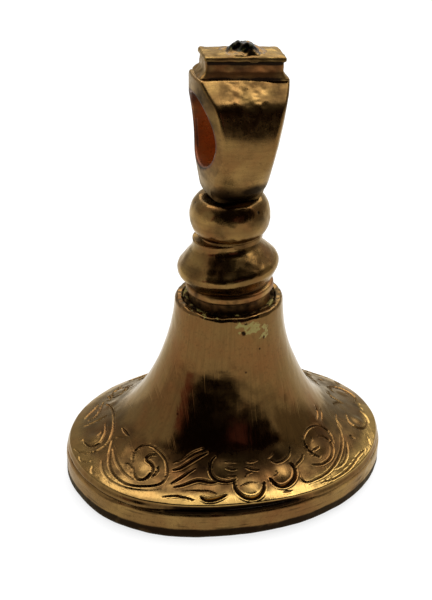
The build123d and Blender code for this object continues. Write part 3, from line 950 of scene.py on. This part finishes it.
class FOBSEAL_OT_collar(bpy.types.Operator):
    """Build the collar in the mouth of the bell and the solder round it"""

    bl_idname = "fobseal.collar"
    bl_label = "Collar and solder"

    def execute(self, context):
        sizes, colours = context.scene.seal_sizes, context.scene.seal_colours
        shaft = sizes.collar_radius / MM
        plug = sizes.mouth_radius / MM - sizes.bell_wall / MM - 0.02
        low = level("neck_collar", 0)
        profile = rounded(
            [
                (0.8, low, 0), (plug, low, 0.05), (plug, MOUTH - 0.32, 0.05), (shaft, MOUTH - 0.28, 0.1),
                (shaft, LOWER_KNOP - 0.5, 0.08), (shaft + 0.19, LOWER_KNOP - 0.4, 0.1),
                (shaft + 0.19, LOWER_KNOP - 0.05, 0.14), (shaft - 0.1, LOWER_KNOP + 0.08, 0.05),
                (0.8, LOWER_KNOP + 0.08, 0),
            ]
        )
        profile = evenly(profile, 110)
        points = turned(profile, 180)
        # Painted shade in the recess under the astragal, down into the mouth
        recess = ease(-profile[:, 1], -LOWER_KNOP + 0.42, -LOWER_KNOP + 0.6)
        marks = turned_marks(points, 0.5 * recess + 0.06 * (1 - recess), 0 * recess, 31)
        # Less patina and more orange on the right side towards the viewer
        right_front = ease(points @ TO_THE_RIGHT, 0.6, 1.8) * ease(points @ TOWARDS_VIEWER, -0.8, 0.4)
        marks["patina_and_shade"] = np.clip(marks["patina_and_shade"] + 0.1 - 0.24 * right_front + 0.16 * waves(points, 0.5, 34), 0, 1)
        marks["thin"] = 0.08 + 0.2 * right_front
        points += (0.012 * waves(points, 1.6, 33))[..., None] * normals(points)
        points = swayed(points, LOWER_KNOP, 0.7 * sizes.knop_tilt)
        gilding = worn_gilding("turned_gilding", colours, (3.0, 0.14), (0.3, 0.46))
        add_piece("collar", points, gilding, "neck_collar", marks)

        # Solder: a ring that climbs unevenly from the collar to the lip
        section = rounded(
            [
                (shaft + 0.02, MOUTH - 0.3, 0.03), (plug, MOUTH - 0.3, 0.03), (plug, MOUTH + 0.02, 0.08),
                (shaft + 0.02, MOUTH - 0.12, 0.08),
            ],
            closed=True,
        )
        section = evenly(section, 41)[:-1]
        ring = turned(section, 200)
        upper = ease(section[:, 1], MOUTH - 0.22, MOUTH - 0.1)[:, None]
        ring[..., 2] += upper * (0.05 * waves(ring, 0.9, 41) + 0.02 * waves(ring, 0.3, 42))
        ring = swayed(ring, MOUTH, 0.45 * sizes.knop_tilt)
        spots = {"rubbed": np.zeros(ring.shape[:2]), "lathe": lathe(ring)}
        spots["corrosion"] = np.clip(ease(waves(ring, 0.7, 43), 0.4, 1.2), 0, 1)
        spots["patina_and_shade"] = np.clip(0.75 + 0.3 * waves(ring, 0.5, 44), 0, 1) * (1 - spots["corrosion"])
        solder = worn_gilding("bloomed_solder", colours, (1.0, 1.0), (0.4, 0.6))
        add_piece("collar_solder", ring, solder, "neck_solder", spots, closed_along=True)
        return {"FINISHED"}


class FOBSEAL_OT_knops(bpy.types.Operator):
    """Build the two turned knops"""

    bl_idname = "fobseal.knops"
    bl_label = "Knops"

    def execute(self, context):
        sizes, colours = context.scene.seal_sizes, context.scene.seal_colours
        gilding = worn_gilding("turned_knop_gilding", colours, (3.0, 0.14), (0.16, 0.27), 0.78)
        reach = sizes.lower_knop / MM / 2
        top = UPPER_KNOP - LOWER_KNOP
        # Two cones meet in a round rim, and the upper one hollows out into the neck
        foot = (reach - 0.5, 0.0, 0.0)
        rim = (reach + 0.12, 1.0, 0.5)
        waist = (1.75, 2.25, 0.6)
        neck = (1.75, top + 0.1, 0.0)
        edge = rounded([foot, rim, waist, neck], steps=40)
        profile = np.vstack([[(0.8, -0.06), (2.1, -0.06)], edge, [(0.8, top + 0.1)]])
        profile = evenly(profile, 150)
        points = turned(profile, 200) + (0, 0, LOWER_KNOP)
        radius, height = profile.T
        hollow = np.maximum(ease(-height, -0.25, 0.0), 0.3 * ease(height, top - 0.1, top + 0.1))
        marks = turned_marks(points, 0.1 + 0.45 * hollow, 0.3 * ease(radius, reach - 0.3, reach), 51)
        lift = 0.014 * waves(points, 1.7, 53) + 0.005 * waves(points, 0.5, 54)
        points += lift[..., None] * normals(points)
        points = swayed(points, LOWER_KNOP + 1.1, 2 * sizes.knop_tilt) - 0.12 * TO_THE_RIGHT
        add_piece("lower_bead", points, gilding, "lower_knop", marks)

        reach = sizes.upper_knop / MM / 2
        top = LOOP_FOOT - UPPER_KNOP
        swing = np.linspace(-np.pi / 2, np.pi / 2, 80)
        bead = np.stack([reach - 0.64 + 0.64 * np.cos(swing), 1.3 + 1.1 * np.sin(swing)], -1)
        profile = np.vstack([[(0.8, -0.08), (1.7, -0.08), (1.7, 0.16)], bead[7:], [(0.8, top)]])
        profile = evenly(profile, 120)
        points = turned(profile, 200) + (0, 0, UPPER_KNOP)
        radius, height = profile.T
        hollow = 0.4 * ease(-height, -0.45, -0.3)
        marks = turned_marks(points, 0.1 + 0.4 * hollow, 0.2 * ease(radius, reach - 0.25, reach), 61)
        pit = dabs(points, [(1.0, -1.75, UPPER_KNOP + 1.9, 0.16, 1.0)])
        marks["patina_and_shade"] = np.clip(marks["patina_and_shade"] + 1.5 * pit, 0, 1)
        lift = 0.014 * waves(points, 1.5, 63) + 0.005 * waves(points, 0.5, 64) - 0.05 * pit
        points += lift[..., None] * normals(points)
        points = swayed(points, UPPER_KNOP + 1.2, sizes.knop_tilt) - 0.06 * TO_THE_RIGHT
        add_piece("upper_bead", points, gilding, "upper_knop", marks)
        return {"FINISHED"}


HOLE_HEIGHT = 3.7
LOOP_HEIGHT = 6.55
LOOP_SWELL = 0.78
LOOP_BACK = 2.5


def loop_side():
    """Half side line of the loop from its foot to the middle of its top: neck, hip, round front and
    shoulder."""
    front = [
        (1.18, 0.05), (1.58, 0.5), (1.97, 1.1), (2.33, 2.0), (2.52, 3.0),
        (2.55, 3.5), (2.50, 4.2), (2.36, 4.95), (2.03, 5.69),
    ]
    line = np.vstack(
        [
            [(0, -0.12), (1.18, -0.12)],
            spline(front, (0, 1), (-0.74, 0.67), 160),
            [(1.0, LOOP_HEIGHT), (0, LOOP_HEIGHT)],
        ]
    )
    return evenly(line, 150)


def loop_half_width(deep, up):
    """Half width of the loop: a quadratic of the height through three widths, less the fall of the
    round flank, which is a circular arc in plan."""
    widths = ((-0.35, 2.66), (HOLE_HEIGHT, 4.38), (LOOP_HEIGHT, 4.94))
    curve = np.polyfit([height for height, _ in widths], [width for _, width in widths], 2)
    flank = (LOOP_BACK**2 + LOOP_SWELL**2) / (2 * LOOP_SWELL)
    fall = flank - np.sqrt(np.maximum(flank**2 - deep**2, 0))
    return np.polyval(curve, up) / 2 - fall


class FOBSEAL_OT_loop(bpy.types.Operator):
    """Build the loop that the seal hangs from"""

    bl_idname = "fobseal.loop"
    bl_label = "Loop"

    def execute(self, context):
        sizes, colours = context.scene.seal_sizes, context.scene.seal_colours
        half = loop_side()
        side = np.vstack([half, (half * (-1, 1))[::-1][1:-1]])
        offset = side - (0, HOLE_HEIGHT)
        reach = np.linalg.norm(offset, axis=1)[:, None]
        way = offset / reach
        hole = sizes.hole_radius / MM
        # The outer edge is crisp above and rolls off towards the foot, more across than outwards
        low = ease(-side[:, 1:], -3.3, -0.8)
        soft_in, soft_out, roll = 0.16, 0.13 + 0.42 * low, 0.15 + 0.9 * low
        # Section at each direction from the hole: inner wall, flank, outer wall, other flank
        swing = np.linspace(0, np.pi / 2, 7)[None]
        near, far = hole + soft_in + 0 * reach, reach - soft_out
        flank = np.linspace(0, 1, 16)[None, 1:-1]
        radial = np.hstack(
            [
                hole + 0 * reach + np.zeros((1, 10)),
                near - soft_in * np.cos(swing),
                near + (far - near) * flank,
                far + soft_out * np.sin(swing),
                reach + np.zeros((1, 24)),
            ]
        )
        deep = way[:, :1] * radial
        up = HOLE_HEIGHT + way[:, 1:] * radial
        edge = loop_half_width(deep, up)
        inner_share = np.linspace(0, 1, 10)[None]
        outer_share = np.linspace(1, 0, 25)[None, 1:]
        width = np.hstack(
            [
                (edge[:, :10] - soft_in) * inner_share,
                edge[:, 10:17] - soft_in + soft_in * np.sin(swing),
                edge[:, 17:31],
                edge[:, 31:38] - roll + roll * np.cos(swing),
                (edge[:, 38:] - roll) * outer_share,
            ]
        )
        right = np.stack([width, deep, up], -1)
        left = right[:, 1:-1][:, ::-1] * (-1, 1, 1)
        points = np.concatenate([right, left], 1)
        way = normals(points)
        front = ease(points[..., 2], 4.9, 5.5) * ease(np.abs(points[..., 1]), 0.8, 1.2)
        pitted = front * ease(-np.abs(points[..., 0] + 0.1), -1.5, -0.7)
        lift = 0.012 * waves(points, 2.0, 71)
        lift += pitted * (0.012 * waves(points, 0.6, 72) + 0.006 * waves(points, 0.28, 73))
        marks = {"lathe": np.stack([points[..., 0], 0 * lift, points[..., 2]], -1)}
        # Darker towards the foot; painted shade on both flanks; dirt across the top of the front and back,
        # patchy where it is pitted
        neck = ease(-points[..., 2], -1.5, -0.9)
        flanks = ease(np.abs(way[..., 0]), 0.75, 0.95)
        dirt_and_shade = 0.7 * neck * (1 - flanks) + 0.36 * flanks + 0.3 * front
        dirt_and_shade += 0.15 * waves(points, 1.3, 74) + 0.14 * pitted * waves(points, 0.45, 75)
        marks["patina_and_shade"] = np.clip(dirt_and_shade, 0, 1)
        # Inside the hole the orange is thinly gilt metal and painted glow of light bounced between its
        # walls; the left half of the hole is darker
        inside = ease(-np.hypot(points[..., 1], points[..., 2] - HOLE_HEIGHT), -hole - 0.25, -hole - 0.05)
        marks["thin"] = inside
        marks["patina_and_shade"] = np.clip(marks["patina_and_shade"] + 0.5 * inside * ease(-points[..., 0], 0.4, 2.0), 0, 1)
        marks["rubbed"] = np.clip(0.25 * waves(points, 1.6, 76), 0, 1)
        points = points + lift[..., None] * way - (0.07, 0, 0)
        gilding = worn_gilding("cast_gilding", colours, (2.2, 0.2), (0.18, 0.32))
        points = leaned(points, sizes)
        add_piece("loop", points, gilding, "suspension_loop", marks, closed_along=True)
        return {"FINISHED"}


def oblong(half_x, half_y, corner, straight=26):
    """Rounded oblong: the rim of a core oblong plus a corner radius along its outward directions.
    Columns lie along the four sides and fan out at the four corners."""
    sides = np.linspace(-1, 1, straight)
    ones = np.ones(straight)
    fan = np.radians(np.linspace(0, 90, 9))[1:-1]
    bend = np.ones(len(fan))
    core_x = np.concatenate([ones, bend, -sides, -bend, -ones, -bend, sides, bend])
    core_y = np.concatenate([sides, bend, ones, bend, -sides, -bend, -ones, -bend])
    turn = np.concatenate([start + part for start in np.pi / 2 * np.arange(4) for part in (0 * ones, fan)])
    x = core_x * (half_x - corner) + corner * np.cos(turn)
    y = core_y * (half_y - corner) + corner * np.sin(turn)
    return x, y


class FOBSEAL_OT_tablet(bpy.types.Operator):
    """Build the tablet on the loop and the drop of solder on it"""

    bl_idname = "fobseal.tablet"
    bl_label = "Tablet and solder drop"

    def execute(self, context):
        sizes, colours = context.scene.seal_sizes, context.scene.seal_colours
        half_x, half_y = sizes.tablet_length / MM / 2, sizes.tablet_depth / MM / 2
        top = LOOP_HEIGHT + 1.15
        # Outline of the tablet: growth beyond the plate's edge, height, corner radius
        outline = rounded(
            [
                (0.06, LOOP_HEIGHT - 0.06, 0), (0.06, LOOP_HEIGHT + 0.04, 0.03),
                (-0.1, LOOP_HEIGHT + 0.32, 0.3), (-0.1, top - 0.30, 0.08), (0.0, top - 0.25, 0.06),
                (0.0, top - 0.02, 0.14), (-0.55, top + 0.04, 0),
            ]
        )
        outline = evenly(outline, 70)
        grow, height = outline[:, :1], outline[:, 1:]
        unit_x, unit_y = oblong(half_x, half_y, 0.16)
        plain_x, plain_y = oblong(half_x - 0.6, half_y - 0.6, 0.02)
        share = (grow + 0.6) / 0.6
        across = plain_x + (unit_x - plain_x) * share
        deep = plain_y + (unit_y - plain_y) * share
        # The two ends sweep out at the foot to meet the flanks of the loop
        across = across * (1 + 0.07 * (1 - ease(height, LOOP_HEIGHT - 0.05, LOOP_HEIGHT + 0.5)) ** 2)
        cos, sin = math.cos(sizes.tablet_twist), math.sin(sizes.tablet_twist)
        points = np.stack([cos * across - sin * deep, sin * across + cos * deep, height + 0 * across], -1)
        way = normals(points)
        marks = {"lathe": points.copy()}
        # Painted shade under the plate's lip; darker too down the riser and at its foot, less so at the ends
        under = ease(-height, -top + 0.2, -top + 0.3) * ease(height, top - 0.5, top - 0.35)
        foot = ease(-height, -LOOP_HEIGHT - 0.16, -LOOP_HEIGHT - 0.04)
        riser = ease(-height, -top + 0.22, -top + 0.3)
        ends = ease(np.abs(across), half_x - 0.25, half_x - 0.1) + 0 * height
        dirt_and_shade = (0.8 * under + 0.5 * foot + 0.4 * riser) * (1 - 0.75 * ends)
        marks["patina_and_shade"] = np.clip(dirt_and_shade + 0.2 * waves(points, 0.8, 81), 0, 1)
        marks["patina_and_shade"] += 0.3 * (1 - riser)
        marks["thin"] = 0.3 * riser * (1 - ends)
        marks["rubbed"] = np.clip(0.3 * (1 - riser) + 0.3 * waves(points, 0.9, 82), 0, 1)
        lift = 0.016 * waves(points, 1.0, 83) + 0.01 * waves(points, 0.4, 84)
        points = points + lift[..., None] * way
        gilding = worn_gilding("filed_gilding", colours, (1.5, 0.3), (0.26, 0.42))
        add_piece("tablet", leaned(points, sizes), gilding, "crest_tablet", marks)

        # Solder drop: a dome over an uneven outline, with a low gilt skirt that has run to the front edge
        reach = 1.33 * sizes.lump_radius / MM
        angle = around(96)
        share = np.linspace(1, 0.02, 40)[:, None]
        spot = np.stack([np.cos(angle), np.sin(angle), 0 * angle], -1)
        bound = reach * (1 + 0.14 * waves(spot, 1.6, 91) + 0.06 * waves(spot, 0.7, 92))
        drop_x = 0.04 + share * bound * np.cos(angle)
        drop_y = -0.12 + share * bound * np.sin(angle) * 0.76
        dome = 0.2 * (1 - share**2) ** 0.7 + 0.36 * ease(-share, -0.8, -0.2) + 0 * angle
        drop = np.stack([drop_x, drop_y, top - 0.03 + dome], -1)
        drop[..., 2] += (1 - share**4) * (0.07 * waves(drop, 0.8, 93) + 0.03 * waves(drop, 0.3, 94))
        drop[..., 2] -= 0.3 * ease(-drop[..., 1], half_y - 0.25, half_y + 0.15)
        gilt = ease(drop_x + 0.5 * drop_y + 0.25 * waves(drop, 0.6, 95), 0.3, 0.6)
        gilt = np.maximum(gilt, ease(share + 0.05 * waves(drop, 0.5, 96), 0.58, 0.74))
        drop = leaned(drop, sizes)
        marks = {"rubbed": 0.55 * gilt}
        add_piece("solder_drop", drop, lead_solder(colours), "solder_lump", marks)
        return {"FINISHED"}


class FOBSEAL_OT_stone(bpy.types.Operator):
    """Finish the stone and the hidden filling and rod, which keep their CAD shapes"""

    bl_idname = "fobseal.stone"
    bl_label = "Stone and filling"

    def execute(self, context):
        colours = context.scene.seal_colours
        finishes = {
            "seal_stone": hardstone(colours),
            "setting_cement": grainy("shellac_cement", colours.cement, colours.patina_and_shade, 0.4, 0.7, 0.0),
            "stem_rod": grainy("drawn_brass_wire", colours.wire, colours.gold, 0.2, 0.35, 1.0),
        }
        for node, material in finishes.items():
            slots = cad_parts[node].data.materials
            slots.clear()
            slots.append(material)
        return {"FINISHED"}


# Cards on the camera's side, which only the metal sees. Each has its colour, its distance, and along
# its edges the degrees from the viewer to the right with the lowest and highest height, in millimetres
CARDS = (
    ("dark_card", "#1a120c", 60, [
        (-70, 60, 80), (-55, 45, 110), (-48, 13, 128), (-43, 12, 128), (-42, 12, 226), (-40, 10, 226),
        (-30, 5, 226), (15, 5, 226), (24, 9, 226), (25, 9, 226), (26, 9, 190), (52, 11, 190), (60, 18, 190),
        (70, 30, 170), (80, 60, 100),
    ]),
    ("left_rosy_card", "#a06a6c", 59, [(-58, 8, 30), (-47, 8, 30)]),
    ("right_dim_card", "#a09a92", 61, [(66, 8, 60), (116, 8, 60)]),
    ("right_rosy_card", "#6e4a56", 59, [(12, 17, 36), (29, 17, 36)]),
)
# Soft windows, behind the seal, overhead and in front of it: degrees from the viewer to the right, height,
# distance, width and length in millimetres, and glow
WINDOWS = (
    ("back_window", 166, 170, 132, 250, 146, 3.0),
    ("overhead_strip", 168, 155, 32, 240, 58, 4.0),
    ("front_strip", -12, 158, 18, 200, 40, 1.6),
)


class FOBSEAL_OT_stage(bpy.types.Operator):
    """Build the floor, the lights and the camera"""

    bl_idname = "fobseal.stage"
    bl_label = "Stage"

    def execute(self, context):
        scene = context.scene
        colours = scene.seal_colours
        scene.view_settings.view_transform = "Standard"

        # White paper: lit by the lamps, and seen nearly white by the camera and in the metal
        paper, tree = new_material("white_paper")
        diffuse = add(tree, "ShaderNodeBsdfDiffuse", {"Color": opaque(colours.floor)})
        glow = add(tree, "ShaderNodeEmission", {"Color": opaque(colours.floor), "Strength": 1.06})
        path = add(tree, "ShaderNodeLightPath").outputs
        seen = maths(tree, "MAXIMUM", path["Is Camera Ray"], path["Is Glossy Ray"])
        seen = maths(tree, "MAXIMUM", seen, path["Is Transmission Ray"])
        part = maths(tree, "MULTIPLY", seen, 0.75)
        both = {0: part, 1: diffuse.outputs["BSDF"], 2: glow.outputs["Emission"]}
        blend = add(tree, "ShaderNodeMixShader", both)
        add(tree, "ShaderNodeOutputMaterial", {"Surface": blend.outputs["Shader"]})
        corners = 1500 * np.array([[(-1, -1, 0), (1, -1, 0)], [(-1, 1, 0), (1, 1, 0)]])
        self.sheet("floor", corners - (0, 0, 0.03), paper)

        for name, code, off, edges in CARDS:
            self.card(name, code, off, edges)

        world = bpy.data.worlds.new("pale_room")
        world.use_nodes = True
        world.node_tree.nodes["Background"].inputs["Color"].default_value = opaque(linear("#f2f2f2"))
        world.node_tree.nodes["Background"].inputs["Strength"].default_value = 0.8
        scene.world = world

        for name, turn, height, off, wide, tall, glow in WINDOWS:
            swing = math.radians(turn)
            way = math.cos(swing) * TOWARDS_VIEWER + math.sin(swing) * TO_THE_RIGHT
            lamp = bpy.data.lights.new(name, "AREA")
            lamp.shape = "RECTANGLE"
            lamp.size, lamp.size_y = wide * MM, tall * MM
            lamp.energy = glow * math.pi * lamp.size * lamp.size_y
            window = bpy.data.objects.new(name, lamp)
            place = way * off + np.array([0, 0, height])
            window.location = place * MM
            window.rotation_euler = Vector(place - (0, 0, 10)).to_track_quat("Z", "Y").to_euler()
            scene.collection.objects.link(window)

        right, up, back = camera_axes()
        camera = bpy.data.cameras.new("camera")
        camera.lens = LENS
        camera.sensor_width = SENSOR
        camera.clip_start, camera.clip_end = 0.001, 20.0
        holder = bpy.data.objects.new("camera", camera)
        pose = Matrix(np.column_stack([right, up, back]).tolist()).to_4x4()
        pose.translation = (CAMERA_AIM + CAMERA_DISTANCE * back) * MM
        holder.matrix_world = pose
        scene.collection.objects.link(holder)
        scene.camera = holder
        return {"FINISHED"}

    def card(self, name, code, off, edges):
        """Upright card of one colour on a cylinder round the seal."""
        material, tree = new_material(name)
        shine = add(tree, "ShaderNodeEmission", {"Color": opaque(linear(code)), "Strength": 1.0})
        add(tree, "ShaderNodeOutputMaterial", {"Surface": shine.outputs["Emission"]})
        degrees, low, high = np.transpose(edges)
        fan = np.linspace(degrees[0], degrees[-1], 119)
        swing = np.radians(fan)[:, None]
        out = off * (np.cos(swing) * TOWARDS_VIEWER + np.sin(swing) * TO_THE_RIGHT)
        rims = [out + np.interp(fan, degrees, heights)[:, None] * (0, 0, 1) for heights in (low, high)]
        made = self.sheet(name, np.stack(rims), material)
        for sight in ("camera", "diffuse", "transmission", "shadow"):
            setattr(made, "visible_" + sight, False)

    def sheet(self, name, points, material):
        """Open sheet of the stage from a grid of points in millimetres."""
        rows, columns = points.shape[:2]
        index = np.arange(rows * columns).reshape(rows, columns)
        quads = np.stack([index[:-1, :-1], index[:-1, 1:], index[1:, 1:], index[1:, :-1]], -1)
        mesh = bpy.data.meshes.new(name)
        mesh.from_pydata(points.reshape(-1, 3) * MM, [], quads.reshape(-1, 4).tolist())
        mesh.materials.append(material)
        made = bpy.data.objects.new(name, mesh)
        bpy.context.scene.collection.objects.link(made)
        return made


class FOBSEAL_PT_panel(bpy.types.Panel):
    """Sidebar panel with the sizes, the colours and the steps of the build"""

    bl_label = "Fob Seal"
    bl_idname = "FOBSEAL_PT_panel"
    bl_space_type = "VIEW_3D"
    bl_region_type = "UI"
    bl_category = "Fob Seal"

    def draw(self, context):
        for group in (context.scene.seal_sizes, context.scene.seal_colours):
            box = self.layout.box()
            for name in group.__annotations__:
                box.prop(group, name)
        for step in STEPS:
            self.layout.operator(step.bl_idname)


STEPS = (
    FOBSEAL_OT_stone,
    FOBSEAL_OT_band,
    FOBSEAL_OT_bell,
    FOBSEAL_OT_collar,
    FOBSEAL_OT_knops,
    FOBSEAL_OT_loop,
    FOBSEAL_OT_tablet,
    FOBSEAL_OT_stage,
)
CLASSES = (SealSizes, SealColours, *STEPS, FOBSEAL_PT_panel)


def register():
    """Register the classes and hang the properties on the scene."""
    for each in CLASSES:
        bpy.utils.register_class(each)
    bpy.types.Scene.seal_sizes = bpy.props.PointerProperty(type=SealSizes)
    bpy.types.Scene.seal_colours = bpy.props.PointerProperty(type=SealColours)


def unregister():
    """Take the properties and the classes away again."""
    del bpy.types.Scene.seal_colours
    del bpy.types.Scene.seal_sizes
    for each in reversed(CLASSES):
        bpy.utils.unregister_class(each)


def main():
    """Build every piece and the stage."""
    register()
    for step in STEPS:
        family, name = step.bl_idname.split(".")
        getattr(getattr(bpy.ops, family), name)()


if __name__ == "__main__":
    main()
